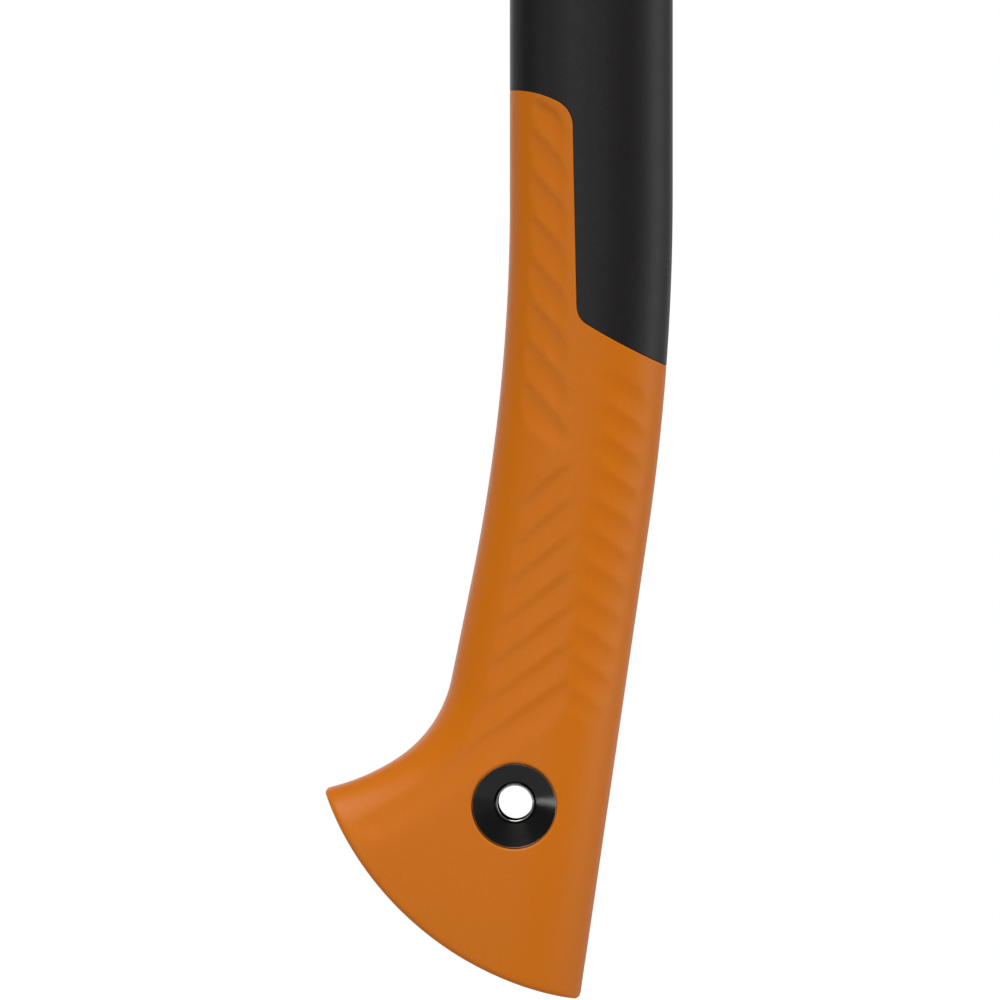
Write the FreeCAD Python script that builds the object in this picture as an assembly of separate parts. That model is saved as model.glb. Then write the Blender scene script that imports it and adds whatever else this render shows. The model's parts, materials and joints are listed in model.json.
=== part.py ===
"""Felling axe with a hollow composite handle, a soft overmoulded grip and a lanyard eyelet.

All sizes are in millimetres.  +Z runs up the handle to the head, the blade and the hook of the
butt point to -X, and the axe is symmetric about the XZ plane.  The origin is the centre of the
lanyard eye in the butt.
"""
import FreeCAD, Part
import math
import os

V = FreeCAD.Vector

# Handle section: a superellipse, wider in X than it is thick in Y
SHAFT_WIDTH = 38.7
SHAFT_HALF_THICKNESS = 12.5
SECTION_POWER = 2.4
EDGE_REACH = SHAFT_WIDTH / 2
SHAFT_FRONT = -1.35
SHAFT_BACK = SHAFT_FRONT + SHAFT_WIDTH
SHAFT_CENTRE = SHAFT_FRONT + SHAFT_WIDTH / 2

# Front edge, from the shaft down: a long bend, a straight, the hook and the ledge of its tip
FRONT_BEND_TOP = 142.6
FRONT_BEND_RADIUS = 450.0
FRONT_SLOPE = math.radians(11.55)
HOOK_TOP = 29.4
HOOK_RADIUS = 29.8
HOOK_SWEEP = math.radians(57.1)
TIP_RADIUS = 51.3
TIP_SWEEP = math.radians(80.0)

# Back edge: a longer bend, then a straight down to the heel
BACK_BEND_TOP = 144.2
BACK_BEND_RADIUS = 550.0
BACK_SLOPE = math.radians(8.33)

# Butt: one arc from the hook's tip to the heel
BUTT_CENTRE = (26.9, 29.2)
BUTT_RADIUS = 76.8
BUTT_CUT_TOP = 4.5

# The handle thickens a little in the grip, and again in the knob
GRIP_SWELL = 0.5
GRIP_SWELL_TOP = 110.0
GRIP_SWELL_LENGTH = 60.0
KNOB_SWELL = 1.8
KNOB_SWELL_TOP = 45.0
KNOB_SWELL_LENGTH = 90.0

# Layers
SLEEVE_THICKNESS = 2.3
CAVITY_INSET = 5.5
CAVITY_TOP = 520.0
PLUG_TOP = 62.0
PLUG_SHOULDER = 30.0
PLUG_CLEARANCE = 0.15

# Section planes: level above the pivot, then fanned about it through the knob
LOFT_TOP = 150.0
LOFT_STEP = 10.0
PIVOT = (-114.0, 60.0)
FAN_STEP = math.radians(4.0)
FAN_COUNT = 12
SECTION_STEPS = 20

# Lanyard eyelet, on the Y axis: a tube with rolled lips over two dished washers
BORE_RADIUS = 4.1
BARREL_RADIUS = 4.8
LIP_CREST_RADIUS = 4.7
LIP_RADIUS = 5.6
LIP_HEIGHT = 0.6
DISH_RADIUS = 10.6
WASHER_RADIUS = 11.2
WASHER_THICKNESS = 0.9
DISH_DEPTH = 2.35
DISH_RECESS = 0.55
SLEEVE_EYE_RADIUS = 10.15
SLEEVE_EYE_CENTRE = (-0.36, -1.02)

# Collar, where the handle widens round the head
COLLAR_BASE = 500.0
COLLAR_TOP = 656.0
COLLAR_HALF_WIDTH = 36.0
COLLAR_HALF_THICKNESS = 18.0
COLLAR_POWER = 4.0
COLLAR_FLAT = 30.0
COLLAR_ROUND = 3.0

# Head: X sizes are counted from the handle's centre line
EDGE_RADIUS = 159.0
EDGE_CENTRE = (39.0, 607.0)
TOE = (-110.0, 661.5)
HEEL = (-108.0, 551.0)
BEVEL_LENGTH = 12.0
BEVEL_HALF_THICKNESS = 2.2
EDGE_HALF_THICKNESS = 0.15
CHEEK_HALF_THICKNESS = 12.5
CHEEK_END = -26.0
CHEEK_BOTTOM = 590.0
CHEEK_TOP = 649.0
WEB_HALF_THICKNESS = 8.0
WEB_BOTTOM = 593.0
WEB_TOP = 645.0
WEB_HOLE_RADIUS = 6.0
POLL_START = 22.0
POLL_FACE = 52.0
POLL_HALF_THICKNESS = 13.5
POLL_BOTTOM = 592.0
POLL_TOP = 647.0
POLL_ROUND = 2.5

FAR = 400.0


# ---- curves and profiles ----

def arc_centre(point, angle, radius):
    """Centre of the arc whose radius, angle below the horizontal, ends at point."""
    return (point[0] - radius * math.cos(angle), point[1] + radius * math.sin(angle))


def arc_end(centre, angle, radius):
    """Point on an arc at an angle below the horizontal."""
    return (centre[0] + radius * math.cos(angle), centre[1] - radius * math.sin(angle))


FRONT_BEND_CENTRE = arc_centre((SHAFT_FRONT, FRONT_BEND_TOP), 0.0, FRONT_BEND_RADIUS)
FRONT_BEND_END = arc_end(FRONT_BEND_CENTRE, FRONT_SLOPE, FRONT_BEND_RADIUS)
HOOK_START = (FRONT_BEND_END[0] + (HOOK_TOP - FRONT_BEND_END[1]) * math.tan(FRONT_SLOPE), HOOK_TOP)
HOOK_CENTRE = arc_centre(HOOK_START, FRONT_SLOPE, HOOK_RADIUS)
TIP_CENTRE = arc_centre(arc_end(HOOK_CENTRE, HOOK_SWEEP, HOOK_RADIUS), HOOK_SWEEP, TIP_RADIUS)
BACK_BEND_CENTRE = arc_centre((SHAFT_BACK, BACK_BEND_TOP), 0.0, BACK_BEND_RADIUS)


def polar(centre, x, z):
    """Distance from a centre, and the angle below the horizontal."""
    return math.hypot(x - centre[0], z - centre[1]), math.atan2(centre[1] - z, x - centre[0])


def beyond_line(centre, radius, angle, x, z):
    """Distance past the straight that continues an arc from its end at angle."""
    along_x = (x - centre[0]) * math.cos(angle)
    return along_x - (z - centre[1]) * math.sin(angle) - radius


def front_depth(x, z):
    """Distance of a point from the front edge, positive inside the handle."""
    if z >= FRONT_BEND_TOP:
        return x - SHAFT_FRONT
    reach, angle = polar(FRONT_BEND_CENTRE, x, z)
    if angle <= FRONT_SLOPE:
        return reach - FRONT_BEND_RADIUS
    reach, angle = polar(HOOK_CENTRE, x, z)
    if angle <= FRONT_SLOPE:
        return beyond_line(HOOK_CENTRE, HOOK_RADIUS, FRONT_SLOPE, x, z)
    if angle <= HOOK_SWEEP:
        return reach - HOOK_RADIUS
    reach, angle = polar(TIP_CENTRE, x, z)
    if angle <= TIP_SWEEP:
        return reach - TIP_RADIUS
    return beyond_line(TIP_CENTRE, TIP_RADIUS, TIP_SWEEP, x, z)


def back_depth(x, z):
    """Distance of a point from the back edge, positive inside the handle."""
    if z >= BACK_BEND_TOP:
        return SHAFT_BACK - x
    reach, angle = polar(BACK_BEND_CENTRE, x, z)
    if angle <= BACK_SLOPE:
        return BACK_BEND_RADIUS - reach
    return -beyond_line(BACK_BEND_CENTRE, BACK_BEND_RADIUS, BACK_SLOPE, x, z)


def smooth_step(t):
    t = min(max(t, 0.0), 1.0)
    return t * t * (3.0 - 2.0 * t)


def half_thickness(z):
    """Half the handle's thickness on its flat, at a height."""
    grip = GRIP_SWELL * smooth_step((GRIP_SWELL_TOP - z) / GRIP_SWELL_LENGTH)
    knob = KNOB_SWELL * smooth_step((KNOB_SWELL_TOP - z) / KNOB_SWELL_LENGTH)
    return SHAFT_HALF_THICKNESS + grip + knob


def edge_profile(t, power):
    """Superellipse quarter: 0 at the edge, 1 from t = 1 inwards."""
    return (1.0 - (1.0 - min(max(t, 0.0), 1.0)) ** power) ** (1.0 / power)


def half_height(x, z, inset):
    """Half the thickness of the handle at a point, drawn in by inset all round."""
    reach = EDGE_REACH - inset
    front = edge_profile((front_depth(x, z) - inset) / reach, SECTION_POWER)
    back = edge_profile((back_depth(x, z) - inset) / reach, SECTION_POWER)
    return (half_thickness(z) - inset) * front * back


# ---- handle solids ----

def closed_curve(points):
    """Closed spline through points at even parameters, so that lofts share their knots."""
    curve = Part.BSplineCurve()
    parameters = [k / len(points) for k in range(len(points) + 1)]
    curve.interpolate(Points=points, PeriodicFlag=True, Parameters=parameters)
    return Part.Wire([curve.toShape()])


def mirrored_loop(half):
    """Points out along one side, from (x, z, y) triples, and back along the other."""
    out = [V(x, y, z) for x, z, y in half]
    back = [V(x, -y, z) for x, z, y in reversed(half[1:-1])]
    return out + back


def crossing(depth, start, direction, inset):
    """Distance along a line at which a depth function falls to inset."""
    low = 0.0
    high = FAR
    for _ in range(60):
        middle = (low + high) / 2
        inside = depth(start[0] + direction[0] * middle, start[1] + direction[1] * middle) > inset
        low, high = (middle, high) if inside else (low, middle)
    return low


def section(start, direction, inset):
    """Closed section of the handle in the plane through start along direction in XZ."""
    backwards = (-direction[0], -direction[1])
    front = -crossing(front_depth, start, backwards, inset)
    back = crossing(back_depth, start, direction, inset)
    half = []
    for k in range(SECTION_STEPS + 1):
        share = (1.0 - math.cos(math.pi * k / SECTION_STEPS)) / 2
        along = front + (back - front) * share
        x = start[0] + direction[0] * along
        z = start[1] + direction[1] * along
        at_edge = k in (0, SECTION_STEPS)
        half.append((x, z, 0.0 if at_edge else half_height(x, z, inset)))
    return closed_curve(mirrored_loop(half))


def level_section(z, inset):
    """Section in a level plane."""
    middle = SHAFT_CENTRE - max(0.0, LOFT_TOP - z) * math.tan(FRONT_SLOPE) / 2
    return section((middle, z), (1.0, 0.0), inset)


def fan_section(number, inset):
    """Section in a plane turned about the pivot."""
    angle = FAN_STEP * number
    direction = (math.cos(angle), -math.sin(angle))
    start = (0.0, PIVOT[1] + PIVOT[0] * math.tan(angle))
    return section(start, direction, inset)


def handle_loft(inset):
    """Grip and knob, from the level plane at the top of the bends to below the butt."""
    levels = int((LOFT_TOP - PIVOT[1]) / LOFT_STEP)
    wires = [level_section(LOFT_TOP - LOFT_STEP * k, inset) for k in range(levels + 1)]
    wires += [fan_section(number, inset) for number in range(1, FAN_COUNT + 1)]
    return Part.makeLoft(wires, True, False)


def straight_run(bottom, top, inset):
    """Length of the straight shaft."""
    return Part.Face(level_section(bottom, inset)).extrude(V(0, 0, top - bottom))


def cylinder_y(centre, radius, half_length):
    """Cylinder along Y about a point of the XZ plane."""
    return Part.makeCylinder(radius, 2 * half_length, V(centre[0], -half_length, centre[1]), V(0, 1, 0))


def box(x0, x1, z0, z1, half_y):
    return Part.makeBox(x1 - x0, 2 * half_y, z1 - z0, V(x0, -half_y, z0))


def knob_shape(inset):
    """Grip and knob with the butt cut to its arc."""
    waste = box(-FAR, FAR, -FAR, BUTT_CUT_TOP, FAR / 2)
    waste = waste.cut(cylinder_y(BUTT_CENTRE, BUTT_RADIUS - inset, FAR / 2))
    return handle_loft(inset).cut(waste)


def parting_region():
    """The side of the parting line that the soft grip covers, as a slab through the handle."""
    top_left = V(-FAR / 2, 0, 168.9)
    top_front = V(SHAFT_FRONT, 0, 168.9)
    top_middle = V(4.7, 0, 168.1)
    top_end = V(10.4, 0, 165.9)
    corner_middle = V(12.8, 0, 163.5)
    corner_end = V(13.7, 0, 160.2)
    inner_start = V(14.6, 0, 117.4)
    inner_middle = V(15.25, 0, 115.1)
    inner_end = V(16.95, 0, 113.3)
    slant_middle = V(25.4, 0, 108.5)
    slant_end = V(37.5, 0, 102.9)
    right_top = V(FAR / 2, 0, 102.9 - (FAR / 2 - 37.5) * 0.45)
    right_bottom = V(FAR / 2, 0, -FAR / 2)
    left_bottom = V(-FAR / 2, 0, -FAR / 2)
    edges = [
        Part.LineSegment(top_left, top_front),
        Part.Arc(top_front, top_middle, top_end),
        Part.Arc(top_end, corner_middle, corner_end),
        Part.LineSegment(corner_end, inner_start),
        Part.Arc(inner_start, inner_middle, inner_end),
        Part.Arc(inner_end, slant_middle, slant_end),
        Part.LineSegment(slant_end, right_top),
        Part.LineSegment(right_top, right_bottom),
        Part.LineSegment(right_bottom, left_bottom),
        Part.LineSegment(left_bottom, top_left),
    ]
    outline = Part.Wire([edge.toShape() for edge in edges])
    outline.translate(V(0, -FAR / 4, 0))
    return Part.Face(outline).extrude(V(0, FAR / 2, 0))


def collar_section(z, half_x, half_y, power):
    """Superellipse section of the collar."""
    half = []
    for k in range(SECTION_STEPS + 1):
        turn = math.cos(math.pi * k / SECTION_STEPS)
        height = half_y * edge_profile(1.0 - abs(turn), power)
        half.append((SHAFT_CENTRE - half_x * turn, z, height))
    return closed_curve(mirrored_loop(half))


def collar():
    """The handle's widening round the head, flat in front and behind."""
    half_width = SHAFT_WIDTH / 2
    wide = (COLLAR_HALF_WIDTH, COLLAR_HALF_THICKNESS, COLLAR_POWER)
    wires = [
        collar_section(COLLAR_BASE, half_width, SHAFT_HALF_THICKNESS, SECTION_POWER),
        collar_section(COLLAR_BASE + 15, half_width, SHAFT_HALF_THICKNESS, SECTION_POWER),
        collar_section(COLLAR_BASE + 42, 21.2, 13.6, 2.7),
        collar_section(COLLAR_BASE + 66, 27.2, 15.9, 3.2),
        collar_section(COLLAR_BASE + 86, 33.4, 17.6, 3.7),
        collar_section(COLLAR_BASE + 102, *wide),
        collar_section(COLLAR_BASE + 125, *wide),
        collar_section(COLLAR_TOP, *wide),
    ]
    body = Part.makeLoft(wires, True, False)
    front = SHAFT_CENTRE - COLLAR_FLAT
    back = SHAFT_CENTRE + COLLAR_FLAT
    body = body.common(box(front, back, COLLAR_BASE - 1, COLLAR_TOP + 1, FAR / 4))
    top_edges = [edge for edge in body.Edges if edge.BoundBox.ZMin > COLLAR_TOP - 0.1]
    return body.makeFillet(COLLAR_ROUND, top_edges)


# ---- eyelet ----

EYE_FACE = half_thickness(0.0)
DISH_FLOOR = EYE_FACE - DISH_RECESS - DISH_DEPTH
DISH_RIM = EYE_FACE - DISH_RECESS
DISH_SLOPE = DISH_DEPTH / (DISH_RADIUS - BARREL_RADIUS)


def turned(profile):
    """Solid of revolution about Y from the edges of one closed run in the XY plane."""
    outline = Part.Wire(Part.sortEdges(profile)[0])
    return Part.Face(outline).revolve(V(0, 0, 0), V(0, 1, 0), 360)


def polygon(points):
    """Closed run of straight edges through (x, y) points of the XY plane."""
    corners = [V(x, y, 0) for x, y in points]
    return Part.makePolygon(corners + corners[:1]).Edges


def mirrored(shape):
    """The same shape on the other side of the symmetry plane."""
    return shape.mirror(V(0, 0, 0), V(0, 1, 0))


def washer():
    """Dished washer on the +Y side."""
    return turned(polygon([
        (BARREL_RADIUS, DISH_FLOOR),
        (DISH_RADIUS, DISH_RIM),
        (WASHER_RADIUS, DISH_RIM),
        (WASHER_RADIUS, DISH_RIM - WASHER_THICKNESS),
        (DISH_RADIUS, DISH_RIM - WASHER_THICKNESS),
        (BARREL_RADIUS, DISH_FLOOR - WASHER_THICKNESS),
    ]))


def washer_pocket():
    """The washer's seat and all the space outside it, on the +Y side."""
    return turned(polygon([
        (0.0, DISH_FLOOR - WASHER_THICKNESS),
        (BARREL_RADIUS, DISH_FLOOR - WASHER_THICKNESS),
        (DISH_RADIUS, DISH_RIM - WASHER_THICKNESS),
        (WASHER_RADIUS, DISH_RIM - WASHER_THICKNESS),
        (WASHER_RADIUS, FAR / 8),
        (0.0, FAR / 8),
    ]))


def sleeve_window():
    """The opening in the soft grip over the dish, on the +Y side."""
    above_dish = turned(polygon([
        (0.0, DISH_FLOOR),
        (BARREL_RADIUS, DISH_FLOOR),
        (DISH_RADIUS, DISH_RIM),
        (2 * WASHER_RADIUS, DISH_RIM),
        (2 * WASHER_RADIUS, FAR / 8),
        (0.0, FAR / 8),
    ]))
    return above_dish.common(cylinder_y(SLEEVE_EYE_CENTRE, SLEEVE_EYE_RADIUS, FAR / 8))


def eyelet_barrel():
    """Tube through the knob with a rolled lip at each end."""
    bore_end = DISH_FLOOR + 0.15
    crest = DISH_FLOOR + LIP_HEIGHT + 0.15
    lip_seat = DISH_FLOOR + (LIP_RADIUS - BARREL_RADIUS) * DISH_SLOPE
    lip_corner = V(LIP_RADIUS, lip_seat, 0)
    half = [
        Part.LineSegment(V(BORE_RADIUS, 0, 0), V(BORE_RADIUS, bore_end, 0)),
        Part.Arc(V(BORE_RADIUS, bore_end, 0), V(4.27, crest - 0.18, 0), V(LIP_CREST_RADIUS, crest, 0)),
        Part.Arc(V(LIP_CREST_RADIUS, crest, 0), V(5.3, crest - 0.16, 0), lip_corner),
        Part.LineSegment(lip_corner, V(BARREL_RADIUS, DISH_FLOOR, 0)),
        Part.LineSegment(V(BARREL_RADIUS, DISH_FLOOR, 0), V(BARREL_RADIUS, 0, 0)),
    ]
    upper = Part.Wire([curve.toShape() for curve in half])
    return turned(upper.Edges + mirrored(upper).Edges)


# ---- head ----

def head_x(x):
    """X of the frame from X counted from the handle's centre line."""
    return SHAFT_CENTRE + x


def blade_outline():
    """Side outline of the blade, back to where the cheeks end."""
    toe = V(head_x(TOE[0]), 0, TOE[1])
    heel = V(head_x(HEEL[0]), 0, HEEL[1])
    edge_middle = V(head_x(EDGE_CENTRE[0] - EDGE_RADIUS - 1), 0, EDGE_CENTRE[1])
    top_end = V(head_x(CHEEK_END), 0, CHEEK_TOP)
    bottom_end = V(head_x(CHEEK_END), 0, CHEEK_BOTTOM)
    top_middle = V(head_x(-72.0), 0, 650.5)
    bottom_middle = V(head_x(-78.0), 0, 579.5)
    edges = [
        Part.Arc(toe, edge_middle, heel),
        Part.Arc(heel, bottom_middle, bottom_end),
        Part.LineSegment(bottom_end, top_end),
        Part.Arc(top_end, top_middle, toe),
    ]
    outline = Part.Wire([edge.toShape() for edge in edges])
    outline.translate(V(0, -FAR / 8, 0))
    return Part.Face(outline).extrude(V(0, FAR / 4, 0))


def cheek_lens():
    """Thickness of the blade, turned about the centre of the cutting edge's arc."""
    cheek_reach = EDGE_CENTRE[0] - CHEEK_END
    bevel_reach = EDGE_RADIUS - BEVEL_LENGTH
    middle = ((cheek_reach + bevel_reach) / 2, 5.7)
    cheek_start = V(cheek_reach, CHEEK_HALF_THICKNESS, 0)
    bevel_start = V(bevel_reach, BEVEL_HALF_THICKNESS, 0)
    edge_top = V(EDGE_RADIUS, EDGE_HALF_THICKNESS, 0)
    half = [
        Part.LineSegment(V(0, CHEEK_HALF_THICKNESS + 0.5, 0), cheek_start),
        Part.Arc(cheek_start, V(middle[0], middle[1], 0), bevel_start),
        Part.LineSegment(bevel_start, edge_top),
        Part.LineSegment(edge_top, V(EDGE_RADIUS, 0, 0)),
    ]
    upper = Part.Wire([curve.toShape() for curve in half])
    axis = Part.LineSegment(V(0, CHEEK_HALF_THICKNESS + 0.5, 0), V(0, -CHEEK_HALF_THICKNESS - 0.5, 0))
    lens = turned(upper.Edges + mirrored(upper).Edges + [axis.toShape()])
    lens.translate(V(head_x(EDGE_CENTRE[0]), 0, EDGE_CENTRE[1]))
    return lens


def blade():
    """Blade with its cheeks and ground bevels."""
    return blade_outline().common(cheek_lens())


def poll():
    """Squared hammer poll behind the collar."""
    block = box(head_x(POLL_START), head_x(POLL_FACE), POLL_BOTTOM, POLL_TOP, POLL_HALF_THICKNESS)
    outer_edges = [edge for edge in block.Edges if edge.BoundBox.XMax > head_x(POLL_FACE) - 0.1]
    return block.makeFillet(POLL_ROUND, outer_edges)


def web():
    """Thinner web inside the collar, with two holes that the composite fills."""
    plate = box(head_x(CHEEK_END) - 1, head_x(POLL_START) + 1, WEB_BOTTOM, WEB_TOP, WEB_HALF_THICKNESS)
    middle = (WEB_BOTTOM + WEB_TOP) / 2
    for x in (-12.0, 10.0):
        plate = plate.cut(cylinder_y((head_x(x), middle), WEB_HOLE_RADIUS, FAR / 8))
    return plate


def axe_head():
    """Forged head in one piece."""
    return blade().fuse([web(), poll()]).removeSplitter()


# ---- the pieces ----

def handle_shaft(skin, core, region, head):
    """Hollow composite shaft, rebated under the soft grip, with the collar round the head."""
    upper = skin.fuse([straight_run(LOFT_TOP, COLLAR_BASE, 0.0), collar()]).cut(region)
    lower = core.fuse(straight_run(LOFT_TOP, 180.0, SLEEVE_THICKNESS))
    lower = lower.common(box(-FAR, FAR, PLUG_SHOULDER, FAR, FAR / 4))
    bend_heights = [PLUG_SHOULDER + 15.0 * k for k in range(9)]
    cavity = Part.makeLoft([level_section(z, CAVITY_INSET) for z in bend_heights], True, False)
    cavity = cavity.fuse(straight_run(bend_heights[-1], CAVITY_TOP, CAVITY_INSET))
    return upper.fuse(lower).cut(cavity).cut(head).removeSplitter()


def butt_core(core):
    """Moulded plug that closes the shaft and fills the knob, with the eyelet's seat."""
    body = core.common(box(-FAR, FAR, -FAR, PLUG_SHOULDER, FAR / 4))
    heights = (PLUG_SHOULDER - 4, PLUG_SHOULDER + 6, PLUG_SHOULDER + 16, PLUG_TOP)
    wires = [level_section(z, CAVITY_INSET + PLUG_CLEARANCE) for z in heights]
    body = body.fuse(Part.makeLoft(wires, True, False))
    pocket = washer_pocket()
    bore = cylinder_y((0, 0), BARREL_RADIUS, FAR / 8)
    return body.cut([pocket, mirrored(pocket), bore])


def grip_sleeve(skin, core, region):
    """Soft overmould of the grip and the knob, with a window on each side for the eyelet."""
    skin = skin.fuse(straight_run(LOFT_TOP, 180.0, 0.0))
    core = core.fuse(straight_run(LOFT_TOP, 180.0, SLEEVE_THICKNESS))
    window = sleeve_window()
    ring = washer()
    return skin.common(region).cut([core, window, mirrored(window), ring, mirrored(ring)])


def write(name, shape):
    """Write a piece's solids to its STEP file."""
    solids = shape.Solids
    piece = solids[0] if len(solids) == 1 else Part.makeCompound(solids)
    size = piece.optimalBoundingBox()
    print(f"{name}: {len(solids)} solid(s), valid {piece.isValid()}, {piece.Volume / 1000:.2f} cm3,"
          f" x {size.XMin:.1f}..{size.XMax:.1f}, y {size.YMin:.1f}..{size.YMax:.1f},"
          f" z {size.ZMin:.1f}..{size.ZMax:.1f}")
    piece.exportStep(f"parts/{name}.step")


def main():
    os.makedirs("parts", exist_ok=True)
    skin = knob_shape(0.0)
    core = knob_shape(SLEEVE_THICKNESS)
    region = parting_region()
    head = axe_head()
    write("axe_head", head)
    write("handle_shaft", handle_shaft(skin, core, region, head))
    write("butt_core", butt_core(core))
    write("grip_sleeve", grip_sleeve(skin, core, region))
    write("eyelet_barrel", eyelet_barrel())
    write("eyelet_washer_left", mirrored(washer()))
    write("eyelet_washer_right", washer())


main()
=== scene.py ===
"""Looks of the felling axe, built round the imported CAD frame.

Shapes are worked out in millimetres and written to meshes in metres.  The grip and the shaft
are fine grids on the handle's own surface, so they carry relief, parting lines and rounded lips.
"""
import json
import math

import bmesh
import bpy
import numpy as np
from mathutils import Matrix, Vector


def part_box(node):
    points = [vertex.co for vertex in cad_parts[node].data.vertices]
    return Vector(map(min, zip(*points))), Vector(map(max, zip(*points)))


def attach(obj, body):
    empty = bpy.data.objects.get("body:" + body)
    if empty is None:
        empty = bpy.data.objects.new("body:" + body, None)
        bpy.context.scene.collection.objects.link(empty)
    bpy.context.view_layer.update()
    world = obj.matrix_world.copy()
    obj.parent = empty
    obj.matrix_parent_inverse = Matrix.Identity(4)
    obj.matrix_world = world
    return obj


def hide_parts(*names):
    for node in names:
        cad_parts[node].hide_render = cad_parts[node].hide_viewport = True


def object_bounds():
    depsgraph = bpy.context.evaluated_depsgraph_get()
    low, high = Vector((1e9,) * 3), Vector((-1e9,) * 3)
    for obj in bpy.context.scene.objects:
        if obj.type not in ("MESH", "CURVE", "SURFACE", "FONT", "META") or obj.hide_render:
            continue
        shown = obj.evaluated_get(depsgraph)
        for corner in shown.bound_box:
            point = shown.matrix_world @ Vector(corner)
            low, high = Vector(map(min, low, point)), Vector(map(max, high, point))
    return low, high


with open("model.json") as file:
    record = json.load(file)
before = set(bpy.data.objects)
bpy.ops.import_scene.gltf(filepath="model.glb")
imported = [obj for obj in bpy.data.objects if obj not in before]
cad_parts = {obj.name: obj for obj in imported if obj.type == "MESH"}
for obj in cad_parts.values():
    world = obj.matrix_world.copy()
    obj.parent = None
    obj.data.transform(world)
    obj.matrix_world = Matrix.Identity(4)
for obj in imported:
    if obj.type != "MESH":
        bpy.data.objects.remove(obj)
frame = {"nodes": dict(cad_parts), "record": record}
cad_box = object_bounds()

MM = 0.001

# Handle section and edges, as the CAD part has them
SHAFT_HALF_THICKNESS = 12.5
SECTION_POWER = 2.4
SHAFT_FRONT = -1.35
SHAFT_BACK = 37.35
EDGE_REACH = (SHAFT_BACK - SHAFT_FRONT) / 2
SHAFT_CENTRE = SHAFT_FRONT + EDGE_REACH
FRONT_BEND_TOP = 142.6
FRONT_BEND_RADIUS = 450.0
FRONT_SLOPE = math.radians(11.55)
HOOK_TOP = 29.4
HOOK_RADIUS = 29.8
HOOK_SWEEP = math.radians(57.1)
TIP_RADIUS = 51.3
TIP_SWEEP = math.radians(80.0)
BACK_BEND_TOP = 144.2
BACK_BEND_RADIUS = 550.0
BACK_SLOPE = math.radians(8.33)
BUTT_CENTRE = (26.9, 29.2)
BUTT_RADIUS = 76.8
CORNER_RADIUS = 1.4
BUTT_ROUND = 1.1

# Head: its cutting edge is an arc; the bevel's bright steel starts and is full so far inside it.
# Its poll face is flat, and wear starts and is full so far in front of it.
HEAD_ARC_CENTRE = (57.0, 607.0)
HEAD_ARC_RADIUS = 159.0
BEVEL_START = 12.25
BEVEL_FULL = 11.85
POLL_FACE = 70.0
WEAR_START = 1.6
WEAR_FULL = 0.3

# Places taken from the frame
GRIP_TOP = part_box("grip_sleeve")[1].z / MM
COLLAR_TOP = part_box("handle_shaft")[1].z / MM
washer_low, washer_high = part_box("eyelet_washer_right")
WASHER_RADIUS = washer_high.x / MM
WASHER_RIM = washer_high.y / MM
WASHER_FOOT = washer_low.y / MM
LIP_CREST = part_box("eyelet_barrel")[1].y / MM
for mount in frame["record"]["mounts"]:
    if mount["name"] == "lanyard_eye":
        BORE_RADIUS = mount["dims"]["r_mm"]

# Grid of the skin; a side edge of the knob is about KNOB_SIDE long
COLUMNS = 88
ROW_STEP = 0.75
KNOB_TOP = 60.0
KNOB_ROWS = 132
KNOB_SIDE = 105.0
SKIN_THICKNESS = 2.1
SHAFT_SKIN_THICKNESS = 3.0


# ---- the handle's surface ----

def turn_centre(point, angle, radius):
    return np.array([point[0] - radius * math.cos(angle), point[1] + radius * math.sin(angle)])


def turn_point(centre, angle, radius):
    return np.array([centre[0] + radius * math.cos(angle), centre[1] - radius * math.sin(angle)])


FRONT_BEND_CENTRE = turn_centre((SHAFT_FRONT, FRONT_BEND_TOP), 0.0, FRONT_BEND_RADIUS)
FRONT_BEND_END = turn_point(FRONT_BEND_CENTRE, FRONT_SLOPE, FRONT_BEND_RADIUS)
HOOK_START = (FRONT_BEND_END[0] + (HOOK_TOP - FRONT_BEND_END[1]) * math.tan(FRONT_SLOPE), HOOK_TOP)
HOOK_CENTRE = turn_centre(HOOK_START, FRONT_SLOPE, HOOK_RADIUS)
HOOK_END = turn_point(HOOK_CENTRE, HOOK_SWEEP, HOOK_RADIUS)
TIP_CENTRE = turn_centre(HOOK_END, HOOK_SWEEP, TIP_RADIUS)
BACK_BEND_CENTRE = turn_centre((SHAFT_BACK, BACK_BEND_TOP), 0.0, BACK_BEND_RADIUS)
BACK_BEND_END = turn_point(BACK_BEND_CENTRE, BACK_SLOPE, BACK_BEND_RADIUS)


def polar(centre, x, z):
    return np.hypot(x - centre[0], z - centre[1]), np.arctan2(centre[1] - z, x - centre[0])


def past_line(centre, radius, angle, x, z):
    return (x - centre[0]) * math.cos(angle) - (z - centre[1]) * math.sin(angle) - radius


def front_depth(x, z):
    """Distance inside the front edge."""
    bend, bend_turn = polar(FRONT_BEND_CENTRE, x, z)
    hook, hook_turn = polar(HOOK_CENTRE, x, z)
    tip, tip_turn = polar(TIP_CENTRE, x, z)
    depth = past_line(TIP_CENTRE, TIP_RADIUS, TIP_SWEEP, x, z)
    depth = np.where(tip_turn <= TIP_SWEEP, tip - TIP_RADIUS, depth)
    depth = np.where(hook_turn <= HOOK_SWEEP, hook - HOOK_RADIUS, depth)
    straight = past_line(HOOK_CENTRE, HOOK_RADIUS, FRONT_SLOPE, x, z)
    depth = np.where(hook_turn <= FRONT_SLOPE, straight, depth)
    depth = np.where(bend_turn <= FRONT_SLOPE, bend - FRONT_BEND_RADIUS, depth)
    return np.where(z >= FRONT_BEND_TOP, x - SHAFT_FRONT, depth)


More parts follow.
